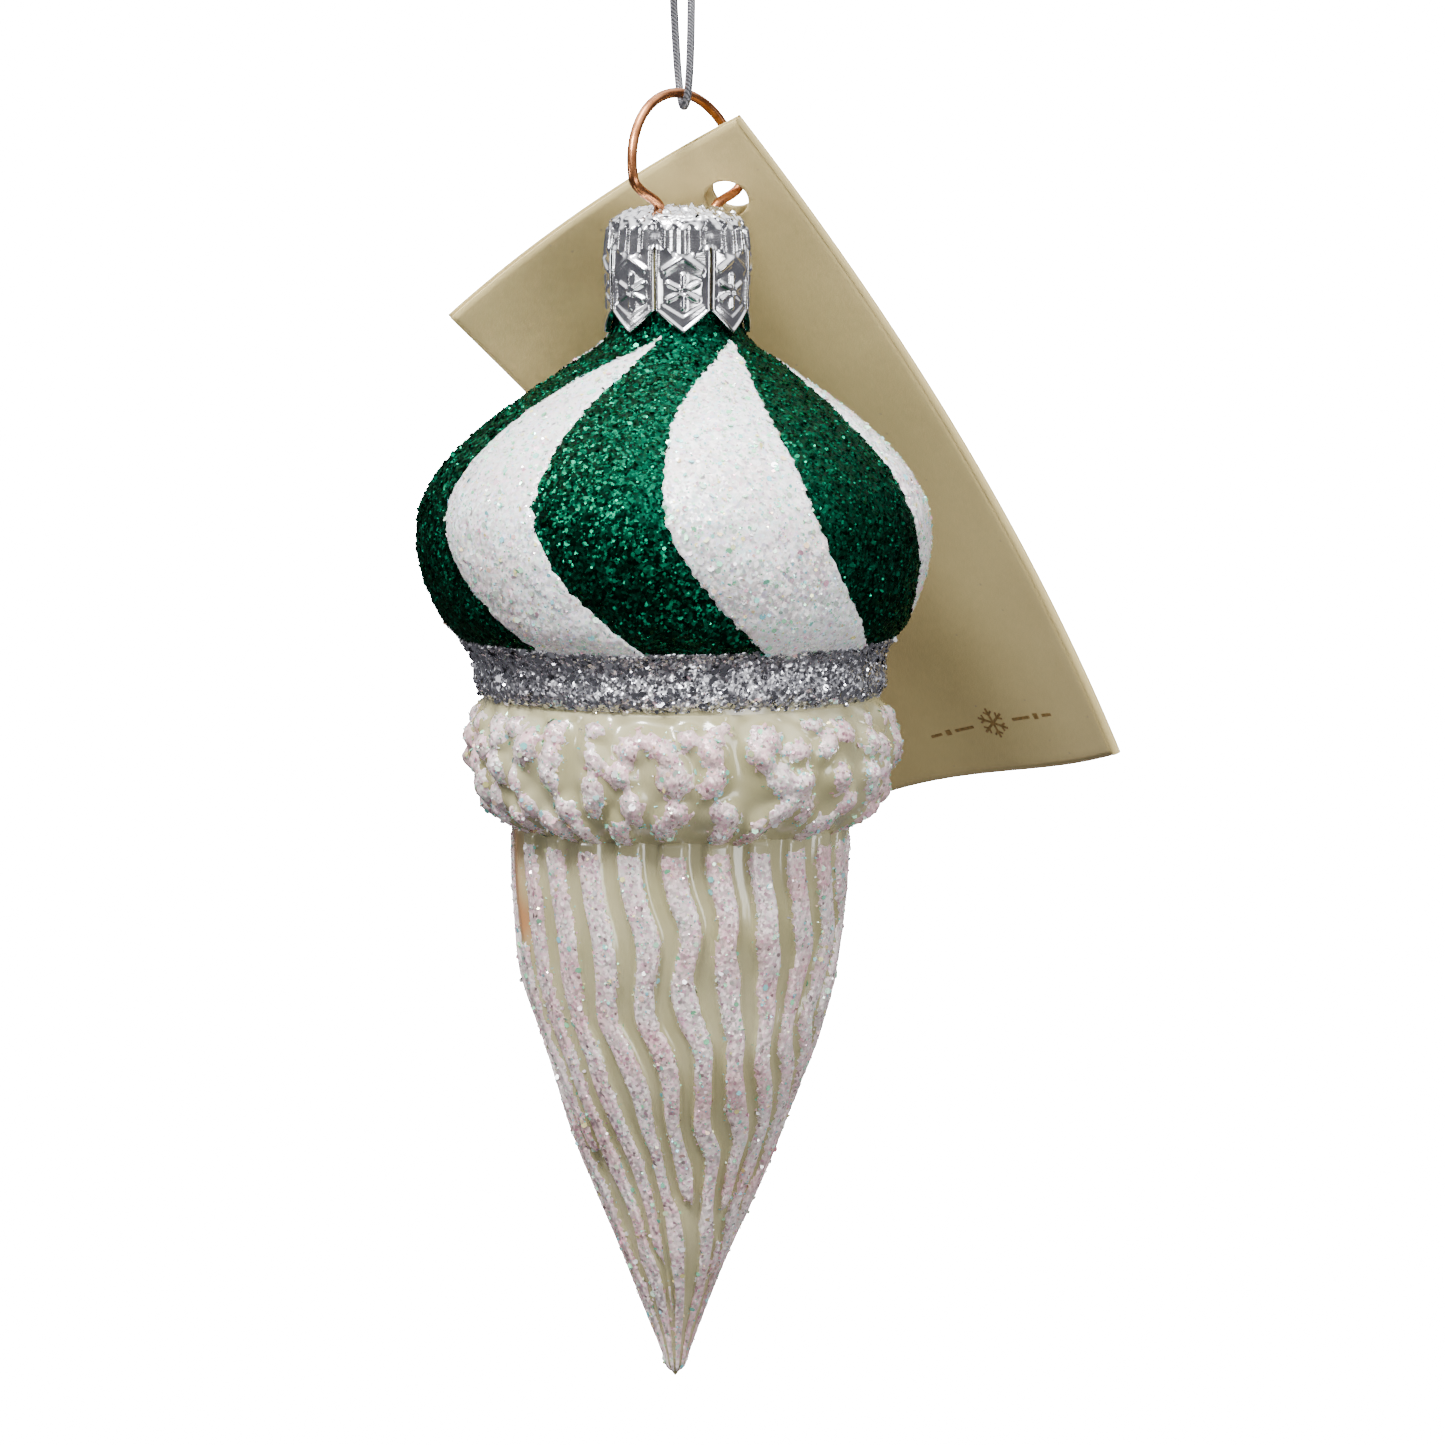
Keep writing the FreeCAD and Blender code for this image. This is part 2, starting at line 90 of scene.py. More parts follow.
make_camera()


# ---------------------------------------------------------------- meshes

def link(name, data, material=None):
    """A new object in the scene, with its material."""
    obj = bpy.data.objects.new(name, data)
    bpy.context.scene.collection.objects.link(obj)
    if material is not None:
        data.materials.append(material)
    return obj


def mesh_object(name, points, faces, material, smooth=True):
    """A mesh from points in millimetres."""
    mesh = bpy.data.meshes.new(name)
    mesh.from_pydata((np.asarray(points) * MM).tolist(), [], [list(map(int, face)) for face in faces])
    mesh.polygons.foreach_set("use_smooth", [smooth] * len(mesh.polygons))
    mesh.update()
    return link(name, mesh, material)


def grid_faces(rows, columns, closed=False, keep=None):
    """The quads of a grid of points; closed joins the last column to the first."""
    across = columns if closed else columns - 1
    row, column = np.meshgrid(np.arange(rows - 1), np.arange(across), indexing="ij")
    after = (column + 1) % columns
    here, below = row * columns, (row + 1) * columns
    quads = np.stack([here + column, below + column, below + after, here + after], axis=-1).reshape(-1, 4)
    if keep is not None:
        quads = quads[keep.reshape(-1)[quads].any(axis=1)]
    return quads


def joined(patches):
    """Several grids as one list of points and one of faces; each is (points, closed, keep)."""
    points, faces, first = [], [], 0
    for grid, closed, keep in patches:
        rows, columns = grid.shape[:2]
        points.append(grid.reshape(-1, 3))
        faces.append(grid_faces(rows, columns, closed, keep) + first)
        first += rows * columns
    return np.concatenate(points), np.concatenate(faces)


def drop_unused(points, faces):
    """The same mesh without the points that no face uses."""
    used, spots = np.unique(faces.reshape(-1), return_inverse=True)
    return points[used], spots.reshape(faces.shape)


# ---------------------------------------------------------------- smooth fields

def curve_through(outline, depth):
    """The radius at each depth on a smooth curve through (radius, depth) points."""
    radii = np.array([point[0] for point in outline], float)
    depths = np.array([point[1] for point in outline], float)
    slopes = np.gradient(radii, depths)
    spot = np.clip(np.searchsorted(depths, depth, side="right") - 1, 0, len(depths) - 2)
    step = depths[spot + 1] - depths[spot]
    t = np.clip((depth - depths[spot]) / step, 0, 1)
    return (
        (2 * t ** 3 - 3 * t ** 2 + 1) * radii[spot]
        + (t ** 3 - 2 * t ** 2 + t) * step * slopes[spot]
        + (3 * t ** 2 - 2 * t ** 3) * radii[spot + 1]
        + (t ** 3 - t ** 2) * step * slopes[spot + 1]
    )


def smooth_step(low, high, value):
    """0 below low, 1 above high, and a smooth rise between."""
    t = np.clip((value - low) / (high - low), 0, 1)
    return t * t * (3 - 2 * t)


def ripple(points, wavelength, seed):
    """A smooth random field, mostly between -1 and 1, with its bumps about a wavelength apart."""
    waves = 24
    draw = np.random.default_rng(seed)
    total = np.zeros(points.shape[:-1])
    for _ in range(waves):
        way = draw.normal(size=3)
        way *= 2 * math.pi / wavelength * draw.uniform(0.7, 1.4) / np.linalg.norm(way)
        total += np.sin(points @ way + draw.uniform(0, 2 * math.pi))
    return total / math.sqrt(waves)


def lean_of_glass(depth):
    """How far the blown glass wanders to the right of the axis."""
    upper = [(0, 0), (0, 12), (-0.5, 30), (-0.3, 40), (0.2, 46)]
    lower = [(0.5, 54), (0.2, 64), (0.1, 80), (-0.35, 118)]
    return curve_through(upper + lower, depth)


def polar(radius, angle, depth):
    """Points of the glass from radius, angle in degrees and depth."""
    turn = np.radians(angle)
    x = radius * np.sin(turn) + lean_of_glass(depth)
    return np.stack([x, -radius * np.cos(turn), CAP_TOP - depth + 0 * radius], axis=-1)


def turns_and_depths(columns, start, end, rows):
    """Angles and depths of a grid round the ornament."""
    angle = np.arange(columns) * 360 / columns - 180
    return np.meshgrid(angle, np.linspace(start, end, rows))


# ---------------------------------------------------------------- materials

class Nodes:
    """A new material with short ways to add and join its nodes."""

    def __init__(self, name):
        self.material = bpy.data.materials.new(name)
        self.material.use_nodes = True
        self.tree = self.material.node_tree
        self.shader = self.tree.nodes["Principled BSDF"]

    def add(self, kind, inputs=(), **settings):
        """A node with its settings, and its inputs linked or set."""
        node = self.tree.nodes.new(kind)
        for setting, value in settings.items():
            setattr(node, setting, value)
        for socket, value in dict(inputs).items():
            self.put(node.inputs[socket], value)
        return node

    def put(self, socket, value):
        """Links an output to a socket, or sets its value."""
        if isinstance(value, bpy.types.NodeSocket):
            self.tree.links.new(value, socket)
        else:
            socket.default_value = value

    def finish(self, **sockets):
        """Sets the shader's sockets; underscores stand for spaces."""
        for socket, value in sockets.items():
            self.put(self.shader.inputs[socket.replace("_", " ")], value)
        return self.material

    def place(self, size, stretch=(1, 1, 1)):
        """Object coordinates counted in pieces of a size in millimetres."""
        coordinates = self.add("ShaderNodeTexCoord").outputs["Object"]
        scale = tuple(1 / (size * MM * factor) for factor in stretch)
        return self.add("ShaderNodeMapping", {"Vector": coordinates, "Scale": scale}).outputs["Vector"]

    def noise(self, size, detail=3.0, stretch=(1, 1, 1)):
        """A noise texture with features of a size in millimetres."""
        settings = {"Vector": self.place(size, stretch), "Scale": 1.0, "Detail": detail}
        return self.add("ShaderNodeTexNoise", settings).outputs["Fac"]

    def ramp(self, value, stops):
        """A colour ramp over (position, colour) stops."""
        node = self.add("ShaderNodeValToRGB", {"Fac": value})
        elements = node.color_ramp.elements
        while len(elements) < len(stops):
            elements.new(0.5)
        for element, (position, colour) in zip(elements, stops):
            element.position = position
            element.color = (*colour, 1) if len(colour) == 3 else colour
        return node.outputs["Color"]

    def mix(self, factor, first, second, blend="MIX"):
        """A mix of two colours."""
        node = self.add("ShaderNodeMix", data_type="RGBA", blend_type=blend)
        for name, value in (("Factor", factor), ("A", first), ("B", second)):
            socket = [s for s in node.inputs if s.name == name and s.enabled][0]
            self.put(socket, (*value, 1) if isinstance(value, tuple) else value)
        return [s for s in node.outputs if s.enabled][0]

    def math(self, operation, first, second=0.0):
        """One arithmetic node."""
        node = self.add("ShaderNodeMath", operation=operation)
        self.put(node.inputs[0], first)
        self.put(node.inputs[1], second)
        return node.outputs[0]

    def bump(self, height, strength, distance):
        """A bump normal from a height; distance is in millimetres."""
        settings = {"Height": height, "Strength": strength, "Distance": distance * MM}
        return self.add("ShaderNodeBump", settings).outputs["Normal"]


def glitter_material(
    name, flake, tilt, tints, patch, patch_share, metallic, roughness, coat=0.0, edge=(1, 1, 1)
):
    """Packed glitter: each small cell of the surface is a flake with its own tint and its own tilt."""
    made = Nodes(name)
    cells = made.add("ShaderNodeTexVoronoi", {"Vector": made.place(flake), "Scale": 1.0}).outputs["Color"]
    shade = made.add("ShaderNodeSeparateColor", {"Color": cells}).outputs["Red"]
    colour = made.ramp(shade, tints)
    where = made.ramp(made.noise(flake * 22), [(0.42, (0, 0, 0)), (0.62, (1, 1, 1))])
    colour = made.mix(made.math("MULTIPLY", where, patch_share), colour, patch, "MULTIPLY")
    centred = made.add("ShaderNodeVectorMath", {0: cells, 1: (0.5, 0.5, 0.5)}, operation="SUBTRACT")
    tilted = made.add("ShaderNodeVectorMath", operation="SCALE")
    made.put(tilted.inputs[0], centred.outputs[0])
    made.put(tilted.inputs["Scale"], tilt)
    facing = made.add("ShaderNodeNewGeometry").outputs["Normal"]
    normal = made.add("ShaderNodeVectorMath", {0: tilted.outputs[0], 1: facing}, operation="ADD")
    unit = made.add("ShaderNodeVectorMath", {0: normal.outputs[0]}, operation="NORMALIZE")
    return made.finish(
        Base_Color=colour,
        Normal=unit.outputs[0],
        Metallic=metallic,
        Roughness=roughness,
        Coat_Weight=coat,
        Specular_Tint=(*edge, 1),
    )


def flake_material(name, tints, metallic, roughness, edge=(1, 1, 1)):
    """Loose flakes: each one has its own tint."""
    made = Nodes(name)
    chance = made.add("ShaderNodeNewGeometry").outputs["Random Per Island"]
    return made.finish(
        Base_Color=made.ramp(chance, tints),
        Metallic=metallic,
        Roughness=roughness,
        Specular_Tint=(*edge, 1),
    )


def foil_material():
    """Bright stamped foil with fine scratches and a little dullness."""
    made = Nodes("cap_foil")
    wear = made.noise(1.6, 4)
    scratches = made.noise(0.25, 2, (4, 4, 0.6))
    colour = made.ramp(wear, [(0.3, (0.60, 0.60, 0.62)), (0.7, (0.86, 0.86, 0.87))])
    rough = made.add("ShaderNodeMapRange", {"Value": wear, "To Min": 0.12, "To Max": 0.24}).outputs[0]
    return made.finish(
        Base_Color=colour, Metallic=1.0, Roughness=rough, Normal=made.bump(scratches, 0.35, 0.03)
    )


def copper_material():
    """Drawn copper-coloured wire, browned in places."""
    made = Nodes("copper_wire")
    tarnish = made.noise(1.8, 4)
    colour = made.ramp(tarnish, [(0.35, (0.27, 0.095, 0.035)), (0.6, (0.58, 0.24, 0.10))])
    rough = made.add("ShaderNodeMapRange", {"Value": tarnish, "To Min": 0.34, "To Max": 0.2}).outputs[0]
    return made.finish(
        Base_Color=colour, Metallic=1.0, Roughness=rough, Normal=made.bump(made.noise(0.15), 0.2, 0.02)
    )


def thread_material():
    """Grey metallic thread: fine twisted fibres."""
    made = Nodes("grey_thread")
    twist = made.add(
        "ShaderNodeTexWave",
        {"Vector": made.place(0.5, (1.4, 1.4, 1.0)), "Scale": 1.0, "Distortion": 1.2},
        bands_direction="DIAGONAL",
    ).outputs["Fac"]
    colour = made.ramp(twist, [(0.1, (0.09, 0.09, 0.10)), (0.8, (0.28, 0.28, 0.30))])
    return made.finish(
        Base_Color=colour, Metallic=0.45, Roughness=0.34, Normal=made.bump(twist, 0.6, 0.05)
    )


def pearl_material():
    """Pearl lacquer on glass: olive cream, glossy, with faint clouds and a brown stain where marked."""
    made = Nodes("pearl_glass")
    clouds = made.noise(9, 3)
    colour = made.ramp(clouds, [(0.35, (0.38, 0.345, 0.175)), (0.65, (0.47, 0.43, 0.25))])
    stain = made.add("ShaderNodeAttribute", attribute_name="stain").outputs["Fac"]
    colour = made.mix(stain, colour, (0.42, 0.20, 0.08))
    return made.finish(
        Base_Color=colour,
        Roughness=0.22,
        Coat_Weight=0.55,
        Coat_Roughness=0.06,
        Specular_IOR_Level=0.6,
        Normal=made.bump(made.noise(1.2, 2), 0.12, 0.05),
    )


def card_material():
    """Khaki card with fine fibres, a few darker specks and soft mottling."""
    made = Nodes("card_stock")
    mottle = made.noise(14, 4)
    fibres = made.noise(0.5, 3, (1, 1, 3))
    colour = made.ramp(mottle, [(0.3, (0.49, 0.38, 0.155)), (0.7, (0.57, 0.45, 0.19))])
    specks = made.add("ShaderNodeTexVoronoi", {"Vector": made.place(3.1), "Scale": 1.0}).outputs["Distance"]
    speck = made.ramp(specks, [(0.03, (1, 1, 1)), (0.06, (0, 0, 0))])
    colour = made.mix(made.math("MULTIPLY", speck, 0.35), colour, (0.26, 0.20, 0.13))
    return made.finish(
        Base_Color=colour,
        Roughness=0.72,
        Sheen_Weight=0.15,
        Normal=made.bump(fibres, 0.25, 0.06),
    )


def ink_material():
    """Gold-brown printing ink."""
    made = Nodes("gold_ink")
    worn = made.noise(0.35, 2)
    colour = made.ramp(worn, [(0.35, (0.26, 0.16, 0.045)), (0.65, (0.38, 0.24, 0.08))])
    return made.finish(Base_Color=colour, Metallic=0.3, Roughness=0.4)


ICE_TINTS = [
    (0.0, (0.82, 0.79, 0.78)),
    (0.45, (0.92, 0.90, 0.89)),
    (0.62, (0.64, 0.86, 0.86)),
    (0.72, (0.95, 0.75, 0.84)),
    (0.82, (0.75, 0.76, 0.97)),
    (0.90, (0.72, 0.95, 0.72)),
    (0.96, (0.62, 0.52, 0.60)),
]
FROST_TINTS = [
    (0.0, (0.68, 0.58, 0.55)),
    (0.40, (0.82, 0.73, 0.69)),
    (0.60, (0.82, 0.56, 0.62)),
    (0.74, (0.92, 0.88, 0.84)),
    (0.90, (0.58, 0.30, 0.40)),
    (0.95, (0.80, 0.84, 0.74)),
    (0.985, (0.30, 0.22, 0.22)),
]
GREEN_TINTS = [
    (0.0, (0.000, 0.007, 0.004)),
    (0.35, (0.000, 0.018, 0.009)),
    (0.70, (0.000, 0.042, 0.021)),
    (0.90, (0.000, 0.100, 0.050)),
    (0.97, (0.000, 0.220, 0.115)),
]
SILVER_TINTS = [
    (0.0, (0.26, 0.26, 0.29)),
    (0.4, (0.46, 0.46, 0.49)),
    (0.8, (0.70, 0.70, 0.74)),
    (0.95, (0.97, 0.97, 0.98)),
]
SPARK_TINTS = [
    (0.0, (0.95, 0.94, 0.92)),
    (0.30, (0.30, 0.92, 0.50)),
    (0.48, (0.35, 0.85, 0.98)),
    (0.62, (0.98, 0.90, 0.35)),
    (0.74, (0.98, 0.50, 0.66)),
    (0.86, (0.95, 0.94, 0.95)),
]

WHITE_GLITTER = glitter_material(
    "white_glitter", 0.30, 0.5, ICE_TINTS, (0.86, 0.72, 0.70), 0.6, 0.1, 0.32, 0.4
)
GREEN_EDGE = (0.02, 0.45, 0.28)
GREEN_GLITTER = glitter_material(
    "green_glitter", 0.30, 0.85, GREEN_TINTS, (0.18, 0.36, 0.27), 0.6, 0.8, 0.34, 0.0, GREEN_EDGE
)
SILVER_GLITTER = glitter_material(
    "silver_glitter", 0.3, 1.0, SILVER_TINTS, (0.62, 0.58, 0.60), 0.5, 0.9, 0.28
)
FROST_GLITTER = glitter_material(
    "frost_glitter", 0.3, 0.6, FROST_TINTS, (0.92, 0.67, 0.69), 0.75, 0.1, 0.34, 0.3
)
ICE_FLAKES = flake_material("ice_flakes", SPARK_TINTS, 0.4, 0.2)
GREEN_FLAKES = flake_material("green_flakes", GREEN_TINTS[1:], 0.95, 0.26, GREEN_EDGE)
SILVER_FLAKES = flake_material("silver_flakes", SILVER_TINTS[1:], 1.0, 0.14)
PEARL = pearl_material()
FOIL = foil_material()
COPPER = copper_material()
THREAD = thread_material()
CARD = card_material()
INK = ink_material()


# ---------------------------------------------------------------- thread loop and its knot

CORD_DIAMETER = 0.8
HANGER_ROUTE = [
    (-0.48, 0.93, -7.0),
    (0.0, 4.3, -20.32),
    (1.3, -1.45, -20.32),
    (1.5, -1.1, 0.4),
    (-0.9, 1.1, 0.4),
    (-0.62, 0.98, -4.2),
]


def nurbs(name, route, diameter, material):
    """A round cord along control points in millimetres."""
    curve = bpy.data.curves.new(name, "CURVE")
    curve.dimensions = "3D"
    curve.bevel_depth = diameter / 2 * MM
    curve.bevel_resolution = 6
    curve.use_fill_caps = True
    spline = curve.splines.new("NURBS")
    spline.points.add(len(route) - 1)
    for spot, point in zip(spline.points, route):
        spot.co = (*(Vector(point) * MM), 1)
    spline.order_u = 3
    spline.use_endpoint_u = True
    spline.resolution_u = 12
    return link(name, curve, material)


def make_knot():
    """An overhand knot drawn tight, with a short tail."""
    centre = Vector((-0.55, 0.955, -5.6))
    lobe = 0.42
    route = []
    steps = 30
    for step in range(steps):
        turn = 2 * math.pi * step / steps + 0.5
        across = lobe * (math.sin(turn) + 2 * math.sin(2 * turn)) * 0.62
        along = lobe * (math.cos(turn) - 2 * math.cos(2 * turn)) * 0.72
        out = -lobe * math.sin(3 * turn) * 1.3
        route.append(centre + Vector((across, out, along)))
    route.append(centre + Vector((-1.6, 0.62, -0.5)))
    route.append(centre + Vector((-2.5, 0.95, -0.85)))
    return nurbs("tied_knot", [tuple(point) for point in route], CORD_DIAMETER, THREAD)


hanger = nurbs("thread_loop", HANGER_ROUTE, CORD_DIAMETER, THREAD)
knot = make_knot()
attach(hanger, "hanger")
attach(knot, "hanger")
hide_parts("hanger_cord")
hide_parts("hanger_knot")


# ---------------------------------------------------------------- glass: dome, band, ruffle and icicle

NECK_TOP = 10.2
DOME_OUTLINE = [
    (6.7, NECK_TOP),
    (6.75, 12.2),
    (7.6, 13.4),
    (11.4, 16.1),
    (18.2, 20.9),
    (23.0, 25.5),
    (25.2, 29.3),
    (25.7, 33.0),
    (24.8, 37.8),
    (22.9, 41.7),
    (21.0, 43.4),
]
BAND_RADIUS = 20.5
BAND_OUTLINE = [
    (21.5, 42.3),
    (21.75, 42.8),
    (21.4, 43.2),
    (20.95, 43.8),
    (20.6, 44.5),
    (20.45, 45.5),
    (20.45, 47.3),
    (20.2, 47.9),
    (19.7, 48.4),
]
RUFFLE_OUTLINE = [(20.4, 47.8), (21.9, 50.8), (22.2, 54.0), (21.5, 57.3), (19.7, 60.2), (16.6, 62.2)]
RUFFLE_FOOT = 61.2
TIP_DEPTH = 118.2
ICICLE_OUTLINE = [
    (17.2, 61.2),
    (16.7, 71.0),
    (14.2, 83.0),
    (11.0, 91.9),
    (7.6, 101.1),
    (3.5, 110.3),
    (1.6, 115.8),
    (0.8, 117.6),
    (0.1, TIP_DEPTH),
]
STRIPE_START = 12.9
STRIPE_END = 43.3
SWIRL_LEVEL = 26.2
FRONT_STRIPE = 15.5
STRIPES = [(0, 35), (71, 34), (146, 37), (222, 36), (297, 30)]
RIDGES = 24


def swirl(depth):
    """Angle of the front white stripe's middle line."""
    below = np.maximum(depth - SWIRL_LEVEL, 0)
    above = np.maximum(SWIRL_LEVEL - depth, 0)
    return FRONT_STRIPE + 0.0926 * below ** 2 + 0.00113 * np.minimum(above, 13.2) ** 4


def off_seam(angle, depth):
    """Distance in from the nearest edge of a white stripe: above zero on white, below zero on green."""
    nearest = np.full(np.broadcast(angle, depth).shape, -1e3)
    for place, width in STRIPES:
        half = width / 2 * (1 - np.exp(-np.maximum(depth - STRIPE_START, 0) / 2.6))
        off = (angle - place - swirl(depth) + 180) % 360 - 180
        nearest = np.maximum(nearest, half - np.abs(off))
    return np.radians(nearest) * np.maximum(curve_through(DOME_OUTLINE, depth), 7.2)


def dome_radius(angle, depth):
    """The dome over its glitter: each stripe bulges a little between creases."""
    seam = np.abs(off_seam(angle, depth))
    fade = smooth_step(15, 21, depth) * (1 - smooth_step(40.5, 43, depth))
    return curve_through(DOME_OUTLINE, depth) - 0.35 * np.exp(-(seam / 2.2) ** 2) * fade - 0.25


def stripe_coats():
    """The green coat with its openings for the white, and the white coat standing a little prouder."""
    columns, rows = 720, 150
    angle, depth = turns_and_depths(columns, NECK_TOP, STRIPE_END, rows)
    inside = off_seam(angle, depth)
    radius = dome_radius(angle, depth)
    spots = polar(radius, angle, depth)
    fine = ripple(spots, 0.9, 11)
    lumps = ripple(spots, 2.6, 12)
    green = radius + 0.05 * fine + 0.06 * lumps
    edge = inside + 0.16 * ripple(spots, 1.3, 13)
    white = radius - 0.25 + 0.47 * smooth_step(-0.3, 0.35, edge) + 0.035 * fine + 0.05 * lumps
    return (
        (polar(green, angle, depth), inside < 0.6),
        (polar(white, angle, depth), inside > -0.5),
    )


def ruffle_bumps():
    """Places, sizes and leans of the ruffle's raised tufts, row by row."""
    draw = np.random.default_rng(5)
    bumps = []
    rows = [(50.2, 30, 0.85), (52.6, 31, 1.0), (55.2, 30, 1.0), (57.9, 29, 1.0), (60.3, 27, 1.0)]
    for level, count, height in rows:
        for number in range(count):
            bumps.append(
                (
                    360 * (number + draw.uniform(-0.35, 0.35)) / count,
                    level + draw.uniform(-0.8, 0.8),
                    height * draw.uniform(0.65, 1.0),
                    draw.uniform(1.15, 1.7),
                    draw.uniform(1.4, 2.4),
                    math.radians(draw.uniform(-60, 45)),
                )
            )
    return bumps


def tuft_height(angle, depth):
    """Height of the tufts above the ruffle's smooth base."""
    total = np.zeros(angle.shape)
    for place, level, height, half_width, half_length, lean in ruffle_bumps():
        off = (angle - place + 180) % 360 - 180
        across = np.radians(off) * 21.5
        down = depth - level
        s = across * math.cos(lean) + down * math.sin(lean)
        t = -across * math.sin(lean) + down * math.cos(lean)
        total += (height * np.exp(-(s / half_width) ** 2 - (t / half_length) ** 2)) ** 3
    return total ** (1 / 3)


def tufts_shown(depth):
    """1 where the ruffle has tufts, fading to 0 at its plain edges."""
    return smooth_step(48.6, 49.8, depth) * (1 - smooth_step(61.6, 62.4, depth))


def ruffle_radius(angle, depth):
    """The ruffle's lacquered glass."""
    middle = curve_through(RUFFLE_OUTLINE, depth)
    shown = tufts_shown(depth)
    return middle - 1.6 + 1.6 * tuft_height(angle, depth) * shown + 0.5 * (1 - shown)


def ridge_shape(angle, depth):
    """0 in a groove to 1 on top of a ridge: the ridges drift, waver and run together lower down."""
    drift = 7.0 * smooth_step(62.5, 74.0, depth) + 1.0 * np.maximum(depth - 80.0, 0)
    round_points = np.stack(
        [13 * np.sin(np.radians(angle)), 13 * np.cos(np.radians(angle)), depth + 0 * angle], axis=-1
    )
    waver = 2.0 * ripple(round_points, 14.0, 21) + 0.9 * ripple(round_points, 7.0, 24)
    waver = waver * smooth_step(62, 75, depth)
    phase = (angle - drift - waver + 2) * RIDGES / 360
    fine = np.cos(2 * math.pi * phase)
    coarse = np.cos(math.pi * phase)
    merging = smooth_step(0.0, 1.0, (depth - 96) / 12 + 0.4 * ripple(round_points, 9.0, 23))
    wave = fine * (1 - merging) + (1.15 * np.abs(coarse) ** 0.7 * np.sign(coarse) - 0.05) * merging
    return smooth_step(-0.62, 0.25, wave) * smooth_step(60.6, 61.8, depth)


def icicle_radius(angle, depth):
    """The icicle's lacquered glass with its wavering ridges."""
    outer = curve_through(ICICLE_OUTLINE, depth)
    spots = polar(outer, angle, depth)
    uneven = 0.3 * ripple(spots, 17.0, 26) * smooth_step(66, 78, depth) * (1 - smooth_step(112, 117, depth))
    outer = outer + uneven
    groove = np.minimum(0.75, 0.09 * outer)
    shape = ridge_shape(angle, depth)
    return np.maximum(outer - 0.2 - groove * (1 - shape), 0.1), shape


def make_glass():
    """The glass in one piece, coarse where glitter covers it."""
    neck_angle, neck_depth = turns_and_depths(96, 2.6, 13.1, 8)
    neck = polar(np.full(neck_angle.shape, 6.2), neck_angle, neck_depth)
    dome_angle, dome_depth = turns_and_depths(144, 13.1, 43.6, 40)
    dome = polar(curve_through(DOME_OUTLINE, dome_depth) - 0.9, dome_angle, dome_depth)
    band_angle, band_depth = turns_and_depths(144, 43.6, 48.8, 6)
    band = polar(np.full(band_angle.shape, BAND_RADIUS - 0.75), band_angle, band_depth)
    ruffle_angle, ruffle_depth = turns_and_depths(440, 48.0, RUFFLE_FOOT + 1.0, 80)
    ruffle = polar(ruffle_radius(ruffle_angle, ruffle_depth), ruffle_angle, ruffle_depth)
    icicle_angle, icicle_depth = turns_and_depths(360, RUFFLE_FOOT - 0.6, TIP_DEPTH, 150)
    radius, _ = icicle_radius(icicle_angle, icicle_depth)
    icicle = polar(radius, icicle_angle, icicle_depth)
    patches = [(grid, True, None) for grid in (neck, dome, band, ruffle, icicle)]
    points, faces = joined(patches)
    glass = mesh_object("blown_glass", points, faces, PEARL)
    mark_stain(glass, points)
    return glass


def stain_strength(angle, depth):
    """A thin brown run of lacquer down the icicle's left side, ending in a drop."""
    run = np.exp(-((angle + 76 - 0.4 * (depth - 62)) / 3.4) ** 2)
    run *= smooth_step(57.5, 61, depth) * (1 - smooth_step(66, 73, depth))
    drop = np.exp(-((angle + 70) / 4.0) ** 2 - ((depth - 71) / 2.4) ** 2)
    return np.clip(run + drop, 0, 1)


def mark_stain(glass, points):
    """Marks the stain on the glass, where the lacquer turns brown."""
    depth = CAP_TOP - points[:, 2]
    angle = np.degrees(np.arctan2(points[:, 0], -points[:, 1]))
    layer = glass.data.attributes.new("stain", "FLOAT", "POINT")
    layer.data.foreach_set("value", stain_strength(angle, depth).astype(np.float32))


def ruffle_coat():
    """Glitter on top of the tufts, with a ragged edge."""
    angle, depth = turns_and_depths(600, 48.6, RUFFLE_FOOT + 0.9, 100)
    radius = ruffle_radius(angle, depth)
    spots = polar(radius, angle, depth)
    height = tuft_height(angle, depth) * tufts_shown(depth)
    raised = height + 0.10 * ripple(spots, 1.1, 31) + 0.08 * ripple(spots, 3.0, 32)
    radius = radius - 0.12 + 0.2 * smooth_step(0.30, 0.48, raised) + 0.03 * ripple(spots, 0.7, 33)
    return polar(radius, angle, depth), raised > 0.24


def ridge_coat():
    """Glitter on top of the icicle's ridges, with a ragged edge."""
    angle, depth = turns_and_depths(480, RUFFLE_FOOT + 0.8, 117.6, 200)
    radius, shape = icicle_radius(angle, depth)
    spots = polar(radius, angle, depth)
    patchy = 0.35 * smooth_step(0.2, 0.9, ripple(spots, 6.0, 41)) * smooth_step(98, 106, depth)
    raised = shape + 0.13 * ripple(spots, 1.0, 42) + 0.07 * ripple(spots, 2.8, 43) + patchy
    raised *= smooth_step(61.9, 63.2, depth) * (1 - 0.9 * stain_strength((angle + 180) % 360 - 180, depth))
    radius = radius - 0.12 + 0.22 * smooth_step(0.42, 0.62, raised) + 0.03 * ripple(spots, 0.7, 44)
    return polar(np.maximum(radius, 0.05), angle, depth), raised > 0.34


def band_coat():
    """The silver glitter band, whose edges waver a little."""
    angle, depth = turns_and_depths(640, 42.3, 48.4, 38)
    waver = 0.15 * np.sin(np.radians(angle * 2 + 40)) + 0.1 * np.sin(np.radians(angle * 5))
    radius = curve_through(BAND_OUTLINE, depth + waver)
    spots = polar(radius, angle, depth)
    radius = radius + 0.07 * ripple(spots, 0.8, 51) + 0.05 * ripple(spots, 2.2, 52)
    return polar(radius, angle, depth), np.full(angle.shape, True)


# ---------------------------------------------------------------- loose flakes

